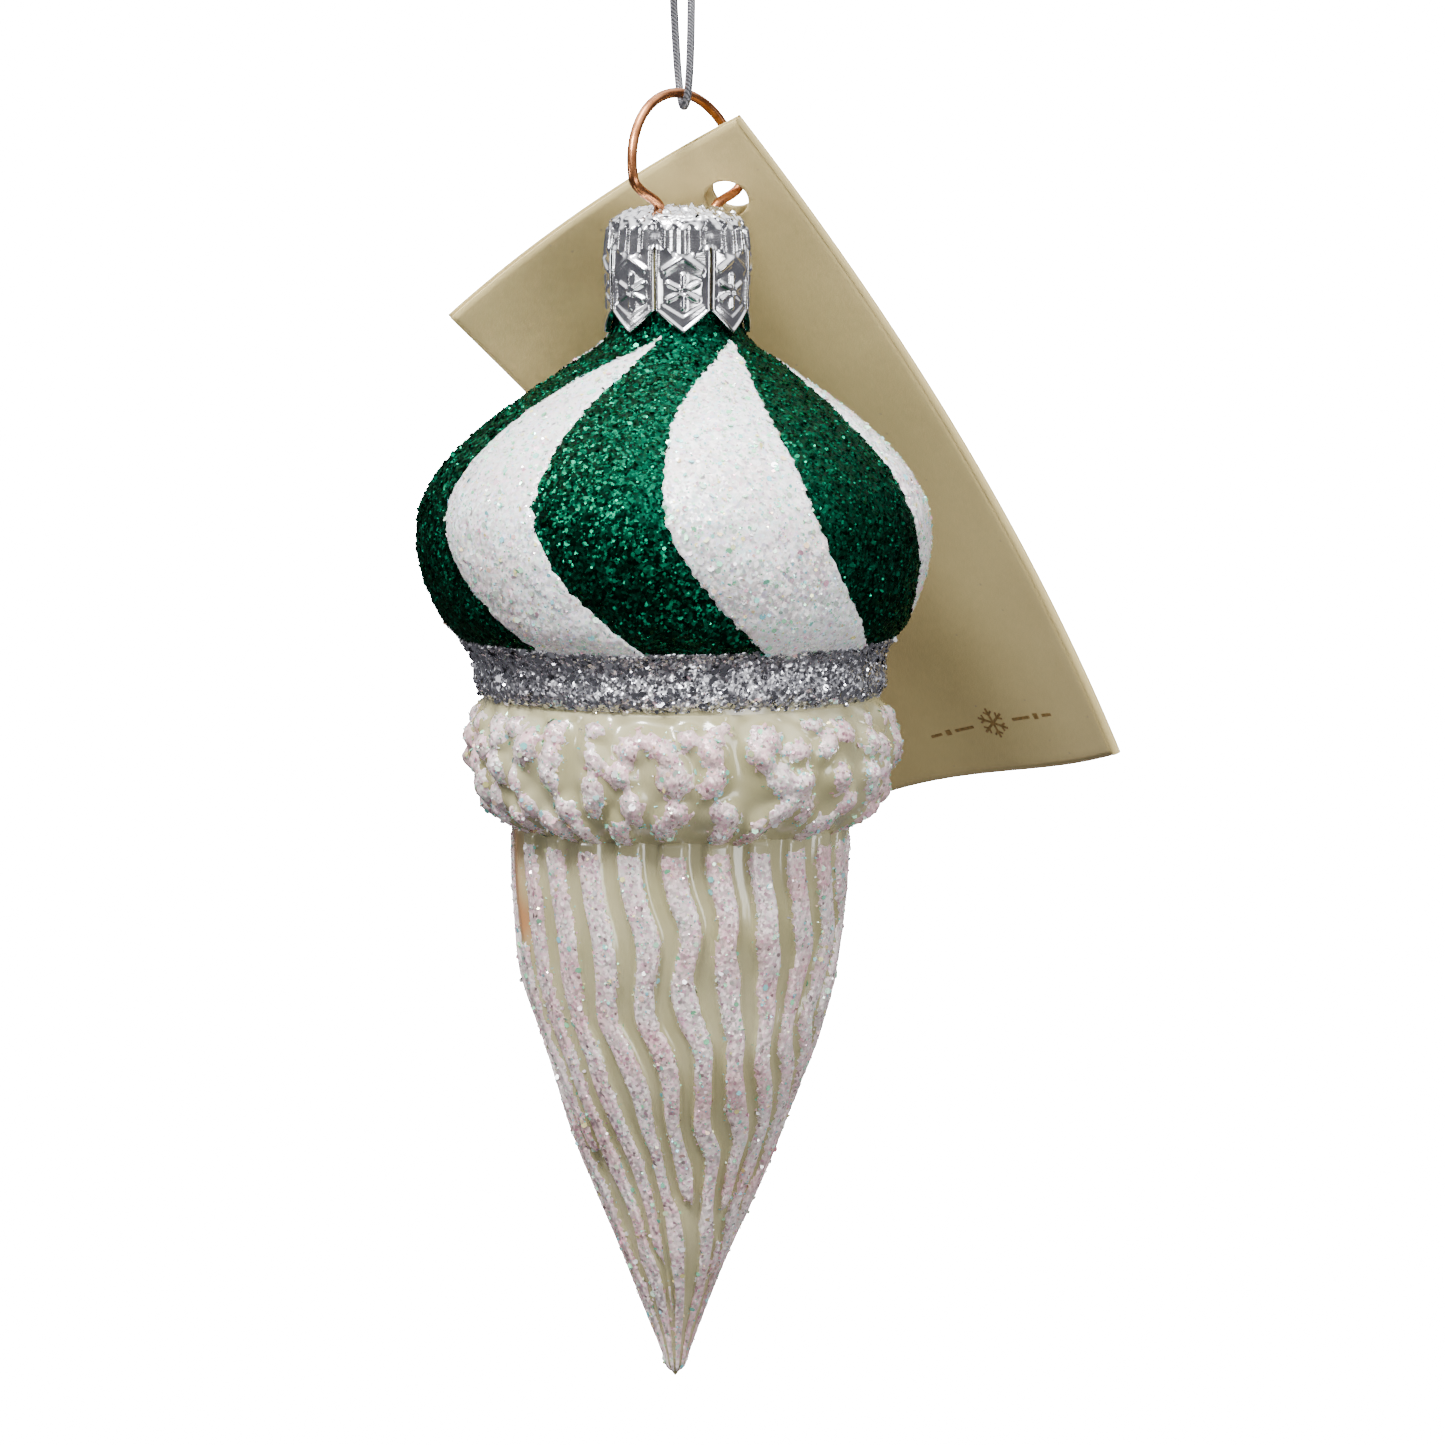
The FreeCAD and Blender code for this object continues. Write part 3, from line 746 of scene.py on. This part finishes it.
def surface_samples(grid, keep, count, draw):
    """Random places on the kept part of a closed grid, spread by area, with the normals there."""
    quads = grid_faces(*grid.shape[:2], True, keep)
    flat = grid.reshape(-1, 3)
    a, b, c, d = (flat[quads[:, k]] for k in range(4))
    normals = np.cross(c - a, d - b)
    area = np.linalg.norm(normals, axis=1)
    chosen = draw.choice(len(quads), size=count, p=area / area.sum())
    u, v = draw.uniform(size=(2, count, 1))
    low = a[chosen] * (1 - u) + b[chosen] * u
    high = d[chosen] * (1 - u) + c[chosen] * u
    spots = low * (1 - v) + high * v
    normal = normals[chosen] / area[chosen, None]
    outward = np.sign(np.sum(normal[:, :2] * spots[:, :2], axis=1))
    return spots, normal * outward[:, None]


def flakes(name, grid, keep, count, size, tilt, lift, material, seed):
    """Hexagonal flakes lying on a coat, each tipped its own way."""
    draw = np.random.default_rng(seed)
    spots, normal = surface_samples(grid, keep, count, draw)
    tipped = normal + tilt * draw.normal(size=normal.shape)
    tipped /= np.linalg.norm(tipped, axis=1, keepdims=True)
    side = np.cross(tipped, draw.normal(size=normal.shape))
    side /= np.linalg.norm(side, axis=1, keepdims=True)
    other = np.cross(tipped, side)
    radius = (size[0] + (size[1] - size[0]) * draw.uniform(size=(count, 1)) ** 8) / 2
    middle = spots + normal * lift
    corners = []
    for corner in range(6):
        turn = math.pi * corner / 3
        corners.append(middle + radius * (math.cos(turn) * side + math.sin(turn) * other))
    points = np.stack(corners, axis=1).reshape(-1, 3)
    faces = np.arange(count * 6).reshape(-1, 6)
    return mesh_object(name, points, faces, material, smooth=False)


def coat(name, grid_and_keep, material, node, slot):
    """One glitter coat as a piece that stands for its CAD node."""
    grid, keep = grid_and_keep
    points, faces = joined([(grid, True, keep)])
    points, faces = drop_unused(points, faces)
    piece = mesh_object(name, points, faces, material)
    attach(piece, "glass")
    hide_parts(node)


def loose(name, grid_and_keep, count, size, tilt, lift, material, seed):
    """Loose flakes on a coat as a piece that rides with the glass."""
    piece = flakes(name, *grid_and_keep, count, size, tilt, lift, material, seed)
    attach(piece, "glass")


glass = make_glass()
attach(glass, "glass")
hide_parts("glass_body")

green, white = stripe_coats()
band = band_coat()
ruffle = ruffle_coat()
ridges = ridge_coat()
coat("green_stripes", green, GREEN_GLITTER, "green_glitter_stripes", "green_glitter")
coat("white_stripes", white, WHITE_GLITTER, "white_glitter_stripes", "white_glitter")
coat("silver_band", band, SILVER_GLITTER, "silver_glitter_band", "silver_glitter")
coat("ruffle_frost", ruffle, FROST_GLITTER, "ruffle_glitter", "frost_glitter")
coat("ridge_frost", ridges, FROST_GLITTER, "ridge_glitter", "frost_glitter")
loose("green_flakes", green, 14000, (0.22, 0.65), 0.35, 0.06, GREEN_FLAKES, 61)
loose("white_flakes", white, 8000, (0.20, 0.75), 0.25, 0.06, ICE_FLAKES, 62)
loose("silver_flakes", band, 5000, (0.25, 0.95), 0.35, 0.07, SILVER_FLAKES, 63)
loose("ruffle_flakes", ruffle, 4500, (0.22, 0.80), 0.35, 0.06, ICE_FLAKES, 64)
loose("ridge_flakes", ridges, 6500, (0.20, 0.70), 0.35, 0.06, ICE_FLAKES, 65)


# ---------------------------------------------------------------- wire ring

RING_RADIUS = 8.2
RING_RISE = 2.85
RING_TURN = math.radians(50)
RING_LEAN = math.radians(8.5)
RING_OFFSET = 1.0
LEG_SPACING = 4.2
LEG_SPREAD = 5.0
LEG_DEPTH = 13.0
WIRE_DIAMETER = 1.0
ALONG = Vector((math.cos(RING_TURN), math.sin(RING_TURN), 0))
ACROSS = Vector((-math.sin(RING_TURN), math.cos(RING_TURN), 0))
RING_UP = Vector((0, 0, 1)) * math.cos(RING_LEAN) + ACROSS * math.sin(RING_LEAN)
UP = Vector((0, 0, 1))


def make_ring():
    """The wire: a leg up through the cap, round the ring and down the other leg."""
    centre = Vector((RING_OFFSET, 0, CAP_TOP + RING_RISE))
    middle = Vector((RING_OFFSET, 0, CAP_TOP))
    shoulder_run = 1.2
    legs = []
    for side in (1, -1):
        hole = middle + ALONG * (side * LEG_SPACING)
        foot = Vector((0, 0, CAP_TOP - LEG_DEPTH)) + ALONG * (side * LEG_SPREAD)
        shoulder = centre + ALONG * (side * RING_RADIUS) - RING_UP * shoulder_run
        legs.append([foot, hole - UP * 8.0, hole - UP * 0.9, hole + UP * 0.12, shoulder])
    steps = 16
    spread = 1 / math.cos(math.pi / steps / 2)
    arc = []
    for step in range(steps):
        turn = math.pi * (step + 0.5) / steps
        way = ALONG * math.cos(turn) + RING_UP * math.sin(turn)
        arc.append(centre + way * (RING_RADIUS * spread))
    route = legs[0] + arc + legs[1][::-1]
    ring = nurbs("copper_ring", [tuple(point) for point in route], WIRE_DIAMETER, COPPER)
    ring.data.bevel_resolution = 8
    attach(ring, "wire")
    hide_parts("wire_ring")


make_ring()


# ---------------------------------------------------------------- crown cap

CAP_RADIUS = 7.2
PETALS = 8
PETAL_TURN = 5.0
SLIT = 0.26
SLIT_TOP = 4.2
CAP_HEIGHT = 12.6
PETAL_POINT = 2.2
PETAL_HALF = math.pi * CAP_RADIUS / PETALS - SLIT / 2
CAP_OUTLINE = [(0.0, 0.0), (3.6, 0.22), (5.5, 0.75), (6.3, 1.35), (6.85, 2.2), (6.98, 3.0), (6.98, 12.8)]


def stroke(across, down, start, end, width):
    """1 along a straight stroke and falling away beside it."""
    start, end = np.array(start), np.array(end)
    run = end - start
    t = ((across - start[0]) * run[0] + (down - start[1]) * run[1]) / (run @ run)
    t = np.clip(t, 0, 1)
    away = np.hypot(across - start[0] - t * run[0], down - start[1] - t * run[1])
    return np.exp(-(away / width) ** 2)


def petal_relief(across, depth):
    """Height stamped into a petal: a rim, three flutes, a roof of two strokes and a six-armed star."""
    foot = CAP_HEIGHT - PETAL_POINT * np.abs(across) / PETAL_HALF
    inset = np.minimum(PETAL_HALF - np.abs(across), (foot - depth) * 0.78)
    height = 0.2 * np.exp(-((inset - 0.16) / 0.17) ** 2) * smooth_step(2.6, 3.4, depth)
    flutes = smooth_step(1.9, 2.5, depth) * (1 - smooth_step(5.0, 5.6, depth + 0.45 * np.abs(across)))
    height += 0.22 * np.cos(2 * math.pi * across / 1.62) * flutes
    middle = 8.5
    reach = np.maximum(np.abs(across), 0.5 * np.abs(across) + 0.85 * np.abs(depth - middle))
    height -= 0.16 * (1 - smooth_step(1.85, 2.3, reach))
    for side in (-1, 1):
        height += 0.29 * stroke(across, depth, (side * 0.3, 5.4), (side * 1.8, 6.4), 0.3)
    for arm in range(6):
        turn = math.pi / 3 * arm
        way = (math.sin(turn), math.cos(turn))
        start = (0.5 * way[0], middle + 0.5 * way[1])
        end = (1.7 * way[0], middle + 1.55 * way[1])
        height += 0.28 * stroke(across, depth, start, end, 0.26)
    return height


def cap_points(angle, depth, relief):
    """Points of the cap's skirt from angle in degrees, depth and relief."""
    radius = np.maximum(curve_through([(r, d) for r, d in CAP_OUTLINE[1:]], depth), 0) + relief
    turn = np.radians(angle)
    return np.stack([radius * np.sin(turn), -radius * np.cos(turn), CAP_TOP - depth], axis=-1)


def make_cap():
    """The crown cap: a crinkled top, a fluted shoulder and stamped petals with pointed feet."""
    patches = []
    around = 384
    angle = np.arange(around) * 360 / around
    petal_pitch = 360 / PETALS

    rings = 26
    radius, turn = np.meshgrid(np.linspace(0.05, 6.2, rings), np.radians(angle), indexing="ij")
    x, y = radius * np.sin(turn), -radius * np.cos(turn)
    flat = np.stack([x, y, 0 * x], axis=-1)
    radii = np.array([point[0] for point in CAP_OUTLINE])
    depths = np.array([point[1] for point in CAP_OUTLINE])
    fall = np.interp(radius, radii[:4], depths[:4])
    crinkle = 0.14 * ripple(flat, 1.3, 71) + 0.13 * ripple(flat, 0.7, 72)
    top = np.stack([x, y, CAP_TOP - fall - 0.1 + crinkle * smooth_step(0.5, 2.0, radius)], axis=-1)

    steps = 30
    band_angle, band_depth = np.meshgrid(angle, np.linspace(1.15, SLIT_TOP, steps))
    local = (band_angle - PETAL_TURN + petal_pitch / 2) % petal_pitch - petal_pitch / 2
    across = np.radians(local) * CAP_RADIUS
    relief = petal_relief(across, band_depth)
    pits = np.exp(-((np.abs(across) - PETAL_HALF - SLIT / 2) / 0.3) ** 2)
    relief -= 0.6 * pits * smooth_step(1.3, 2.4, band_depth)
    spots = cap_points(band_angle, band_depth, 0)
    crushed = 1 - smooth_step(1.6, 2.2, band_depth + 0.2 * ripple(spots, 2.0, 74))
    relief += crushed * (0.08 + 0.13 * ripple(spots, 0.9, 73))
    band = cap_points(band_angle, band_depth, relief)
    patches.append((top, True, None))
    patches.append((band, True, None))

    columns, rows = 44, 92
    for petal in range(PETALS):
        share, part = np.meshgrid(np.linspace(-1, 1, columns), np.linspace(0, 1, rows))
        across = share * PETAL_HALF
        foot = CAP_HEIGHT - PETAL_POINT * np.abs(share)
        start = SLIT_TOP - 0.25
        depth = start + (foot - start) * part
        flare = 0.12 * smooth_step(8.5, 12.6, depth)
        centre = PETAL_TURN + petal_pitch * petal
        petal_angle = centre + np.degrees(across / CAP_RADIUS)
        front = cap_points(petal_angle, depth, petal_relief(across, depth) + flare)
        patches.append((front, False, None))
        back = cap_points(petal_angle, depth, flare - 0.22)[::4, ::4]
        patches.append((back, False, None))
        rim = np.concatenate([front[:, 0], front[-1, 1:-1], front[::-1, -1]])
        inner = rim - 0.5 * np.stack([rim[:, 0], rim[:, 1], 0 * rim[:, 0]], axis=-1) / CAP_RADIUS
        patches.append((np.stack([rim, inner]), False, None))
    points, faces = joined(patches)
    cap = mesh_object("stamped_cap", points, faces, FOIL)
    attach(cap, "cap")
    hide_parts("crown_cap")


make_cap()


# ---------------------------------------------------------------- folded tag

TAG_WIDTH = 36.0
TAG_LENGTH = 79.0
LEAF_THICKNESS = 0.35
LEAF_GAP = 0.3
FOLD_EDGE = -0.1
HOLE_DIAMETER = 4.4
HOLE_IN = 6.1
HOLE_DOWN = 7.1
COVER_SLIP = 1.2
HOLE_PLACE = Vector((4.85, 5.95, CAP_TOP + 0.5))
CURL_RADIUS = 53.9
CURL_LINE = math.radians(239.6)
CARD_TURN = (
    Quaternion((0, 0, 1), math.radians(-8.9))
    @ Quaternion((1, 0, 0), math.radians(33.3))
    @ Quaternion((0, 1, 0), math.radians(-30.6))
)


def card_points(inward, down, depth):
    """Points of the curled card: in from the fold, down from the top edge, depth behind its face."""
    inward, down, depth = np.broadcast_arrays(inward, down, depth)
    width, length = inward - HOLE_IN, down - HOLE_DOWN
    cosine, sine = math.cos(CURL_LINE), math.sin(CURL_LINE)
    along = cosine * width + sine * length
    turn = (cosine * length - sine * width) / CURL_RADIUS
    over = (CURL_RADIUS + depth) * np.sin(turn)
    forward = CURL_RADIUS - (CURL_RADIUS + depth) * np.cos(turn)
    flat = np.stack([-(cosine * along - sine * over), -forward, -(sine * along + cosine * over)], axis=-1)
    return flat @ np.array(CARD_TURN.to_matrix()).T + np.array(HOLE_PLACE)


def make_leaf(name, front, hole_inward, hole_down, node, body):
    """One leaf of the card: a curled sheet with soft edges and a punched hole."""
    columns, rows = 61, 121
    share, part = np.meshgrid(np.linspace(0, 1, columns), np.linspace(0, 1, rows))
    inward = FOLD_EDGE + (TAG_WIDTH - FOLD_EDGE) * share
    down = (TAG_LENGTH + 1.9 * np.sin(math.pi * share) * (1 - share)) * part
    to_side = [share * TAG_WIDTH, (1 - share) * TAG_WIDTH]
    to_end = [part * TAG_LENGTH, (1 - part) * TAG_LENGTH]
    soft = 0.09 * (1 - smooth_step(0.0, 0.7, np.minimum.reduce(to_side + to_end)))
    near = card_points(inward, down, front + soft)
    far = card_points(inward, down, front + LEAF_THICKNESS - soft)
    points, faces = joined([(near, False, None), (far[:, ::-1], False, None)])
    ring = [(0, c) for c in range(columns)] + [(r, columns - 1) for r in range(1, rows)]
    ring += [(rows - 1, c) for c in range(columns - 2, -1, -1)] + [(r, 0) for r in range(rows - 2, 0, -1)]
    first = np.array([r * columns + c for r, c in ring])
    second = np.array([rows * columns + r * columns + (columns - 1 - c) for r, c in ring])
    sides = np.stack([first, np.roll(first, -1), np.roll(second, -1), second], axis=1)
    leaf = mesh_object(name, points, np.concatenate([faces, sides]), CARD)
    punch_hole(leaf, hole_inward, hole_down, front)
    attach(leaf, body)
    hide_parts(node)


def punch_hole(leaf, hole_inward, hole_down, front):
    """Cuts the round hole through a leaf."""
    middle = Vector(card_points(hole_inward, hole_down, front))
    through = (Vector(card_points(hole_inward, hole_down, front + 1)) - middle).normalized()
    side = through.orthogonal().normalized()
    other = through.cross(side)
    corners = 64
    points, faces = [], []
    for level in (-2.0, 2.0):
        for corner in range(corners):
            turn = 2 * math.pi * corner / corners
            way = side * math.cos(turn) + other * math.sin(turn)
            points.append(middle + way * (HOLE_DIAMETER / 2) + through * level)
    for corner in range(corners):
        after = (corner + 1) % corners
        faces.append((corner, after, corners + after, corners + corner))
    faces.append(tuple(range(corners - 1, -1, -1)))
    faces.append(tuple(range(corners, 2 * corners)))
    punch = mesh_object("punch", [tuple(point) for point in points], faces, CARD, smooth=False)
    cut = leaf.modifiers.new("hole", "BOOLEAN")
    cut.operation = "DIFFERENCE"
    cut.solver = "EXACT"
    cut.object = punch
    solid = bpy.data.meshes.new_from_object(leaf.evaluated_get(bpy.context.evaluated_depsgraph_get()))
    leaf.modifiers.clear()
    leaf.data = solid
    bpy.data.objects.remove(punch)


def make_fold():
    """The crease from the back cover to the front cover, in short lengths."""
    lengths = 10
    rows, columns = 13, 13
    thickness = 0.12
    middle = LEAF_THICKNESS + LEAF_GAP / 2
    for number in range(lengths):
        ends = TAG_LENGTH * number / lengths, TAG_LENGTH * (number + 1) / lengths
        down, turn = np.meshgrid(np.linspace(*ends, rows), np.linspace(0, math.pi, columns), indexing="ij")
        outer = card_points(FOLD_EDGE - middle * np.sin(turn) * 0.9, down, middle - middle * np.cos(turn))
        inside = middle - thickness
        inner = card_points(FOLD_EDGE - inside * np.sin(turn) * 0.9, down, middle - inside * np.cos(turn))
        points, faces = joined([(outer, False, None), (inner[:, ::-1], False, None)])
        fold = mesh_object(f"tag_fold_{number + 1}", points, faces, CARD)
        level = sum(ends) / 2
        back = card_points(-0.3, level, 0.1) * MM
        front = card_points(-0.3, level, 2 * middle - 0.1) * MM
        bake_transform(fold)


def make_print():
    """A small plain ornament printed near the foot of the back cover: a star between dashes."""
    ink_lift = -0.02
    line = 0.3
    pieces = []

    def strip(start, end, width):
        """A printed line between two (inward, down) points."""
        start, end = np.array(start, float), np.array(end, float)
        run = (end - start) / np.linalg.norm(end - start)
        side = np.array([-run[1], run[0]]) * width / 2
        steps = 9
        share = np.linspace(0, 1, steps)[:, None]
        centre = start + (end - start) * share
        both = np.stack([centre - side, centre + side], axis=1)
        pieces.append((card_points(both[..., 0], both[..., 1], ink_lift), False, None))

    level = TAG_LENGTH - 5.2
    middle = 16.2
    for arm in range(6):
        turn = math.pi / 3 * arm + math.pi / 6
        way = np.array([math.cos(turn), math.sin(turn)])
        centre = np.array([middle, level])
        strip(centre, centre + 1.9 * way, line)
        for lean in (-0.9, 0.9):
            barb = np.array([math.cos(turn + lean), math.sin(turn + lean)])
            strip(centre + 1.05 * way, centre + 1.05 * way + 0.7 * barb, line * 0.8)
    for side in (-1, 1):
        for near, far, width in ((2.9, 5.6, 0.35), (6.2, 6.9, 0.7), (7.5, 9.0, 0.35)):
            strip((middle + side * near, level), (middle + side * far, level), width)
    points, faces = joined(pieces)
    print_piece = mesh_object("tag_print", points, faces, INK)
    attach(print_piece, "tag")


make_leaf("back_cover", 0.0, HOLE_IN, HOLE_DOWN, "tag_back_cover", "tag")
make_leaf(
    "front_cover",
    LEAF_THICKNESS + LEAF_GAP,
    HOLE_IN - COVER_SLIP,
    HOLE_DOWN - COVER_SLIP / 3,
    "tag_front_cover",
    "cover",
)
make_fold()
make_print()


# ---------------------------------------------------------------- floor, backdrop and light

def make_stage():
    """A round white studio seen by the camera only: a pale floor that bends up into its wall."""
    room_below = 25.0
    glow = 30.0
    floor_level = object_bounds()[0].z / MM - room_below
    floor_radius = 900.0
    bend = 400.0
    height = 1500.0
    profile = [(0.0, 0.0), (floor_radius, 0.0)]
    for step in range(1, 13):
        turn = math.pi / 2 * step / 12
        profile.append((floor_radius + bend * math.sin(turn), bend - bend * math.cos(turn)))
    profile.append((floor_radius + bend, height))
    columns = 96
    turns = 2 * math.pi * np.arange(columns) / columns
    grid = np.array(
        [[(r * math.sin(t), -r * math.cos(t), floor_level + z) for t in turns] for r, z in profile]
    )
    made = Nodes("pale_paper")
    colour = made.ramp(made.noise(120, 3), [(0.3, (0.90, 0.90, 0.90)), (0.7, (0.93, 0.93, 0.93))])
    paper = made.finish(
        Base_Color=colour, Roughness=0.9, Emission_Color=(1, 1, 1, 1), Emission_Strength=glow
    )
    stage = mesh_object("studio_sweep", grid.reshape(-1, 3), grid_faces(len(profile), columns, True), paper)
    stage.visible_diffuse = False
    stage.visible_glossy = False
    stage.visible_shadow = False


def add_light(name, place, target, width, power):
    """A soft white square light aimed at a point; power in watts."""
    lamp = bpy.data.lights.new(name, "AREA")
    lamp.size = width * MM
    lamp.energy = power
    holder = bpy.data.objects.new(name, lamp)
    holder.location = Vector(place) * MM
    aim = Vector(target) - Vector(place)
    holder.rotation_euler = aim.to_track_quat("-Z", "Y").to_euler()
    holder.visible_camera = False
    bpy.context.scene.collection.objects.link(holder)


def make_light():
    """Soft white light from above, the front and both sides, under a sky that is bright on top."""
    world = bpy.data.worlds.new("studio")
    world.use_nodes = True
    tree = world.node_tree
    direction = tree.nodes.new("ShaderNodeTexCoord").outputs["Generated"]
    height = tree.nodes.new("ShaderNodeSeparateXYZ")
    tree.links.new(direction, height.inputs[0])
    ramp = tree.nodes.new("ShaderNodeValToRGB")
    tree.links.new(height.outputs["Z"], ramp.inputs["Fac"])
    low, high = ramp.color_ramp.elements
    low.position, low.color = 0.30, (0.045, 0.045, 0.05, 1)
    high.position, high.color = 0.80, (0.98, 0.98, 1.0, 1)
    tree.links.new(ramp.outputs["Color"], tree.nodes["Background"].inputs["Color"])
    tree.nodes["Background"].inputs["Strength"].default_value = 3.2
    bpy.context.scene.world = world
    middle = (0, 0, CAP_TOP - 55)
    add_light("key", (-150, -310, 330), middle, 130, 5.0)
    add_light("top", (20, -80, 400), middle, 180, 2.0)
    add_light("fill", (300, -400, -130), (0, 0, CAP_TOP - 90), 200, 1.2)
    add_light("left_side", (-380, -140, 0), (0, 0, CAP_TOP), 60, 0.3)
    add_light("right_side", (380, -140, 0), (0, 0, CAP_TOP), 60, 0.3)


make_stage()
make_light()
